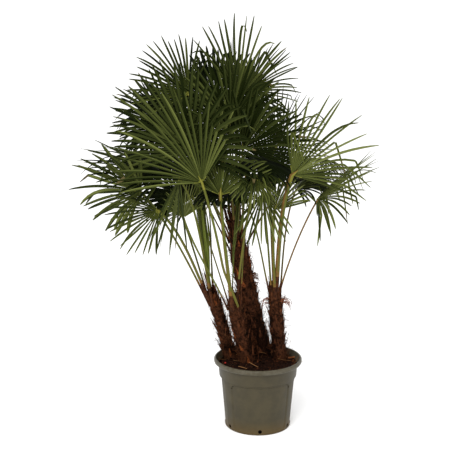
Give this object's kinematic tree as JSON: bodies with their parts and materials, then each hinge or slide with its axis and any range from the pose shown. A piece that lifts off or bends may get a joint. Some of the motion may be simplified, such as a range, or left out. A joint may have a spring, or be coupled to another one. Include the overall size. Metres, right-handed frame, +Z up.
{
  "type": "windmill palm in a nursery pot",
  "caption": "Multi-stemmed fan palm with fibre-clad leaning trunks and round, deeply cut fan fronds, standing in a moulded nursery pot of soil.",
  "frame": {"origin": "centre of the pot's flat underside, where the pot stands", "axes": "+Z up, +X to the palm's right as seen from its front, +Y to its back"},
  "size_m": [1.7516, 1.4262, 2.3238],
  "materials": {
    "pot": "satin",
    "soil": "matte",
    "trunk": "matte",
    "frond": "satin"
  },
  "bodies": {
    "root": {"pot": "pot", "soil": "soil", "trunk_left": "trunk", "trunk_front": "trunk", "trunk_tall": "trunk", "trunk_right": "trunk", "frond_front_01": "frond", "frond_front_02": "frond", "frond_front_03": "frond", "frond_front_04": "frond", "frond_front_05": "frond", "frond_front_06": "frond", "frond_front_07": "frond", "frond_right_01": "frond", "frond_right_02": "frond", "frond_right_03": "frond", "frond_right_04": "frond", "frond_right_05": "frond", "frond_right_06": "frond", "frond_right_07": "frond", "frond_right_08": "frond", "frond_right_09": "frond", "frond_left_01": "frond", "frond_left_02": "frond", "frond_left_03": "frond", "frond_left_04": "frond", "frond_left_05": "frond", "frond_left_06": "frond", "frond_left_07": "frond", "frond_tall_01": "frond", "frond_tall_02": "frond", "frond_tall_03": "frond", "frond_tall_04": "frond", "frond_tall_05": "frond", "frond_tall_06": "frond", "frond_tall_07": "frond", "frond_tall_08": "frond", "frond_tall_09": "frond", "frond_tall_10": "frond", "frond_tall_11": "frond", "frond_tall_12": "frond", "frond_tall_13": "frond", "frond_tall_14": "frond", "frond_tall_15": "frond", "frond_tall_16": "frond"}
  },
  "joints": []
}
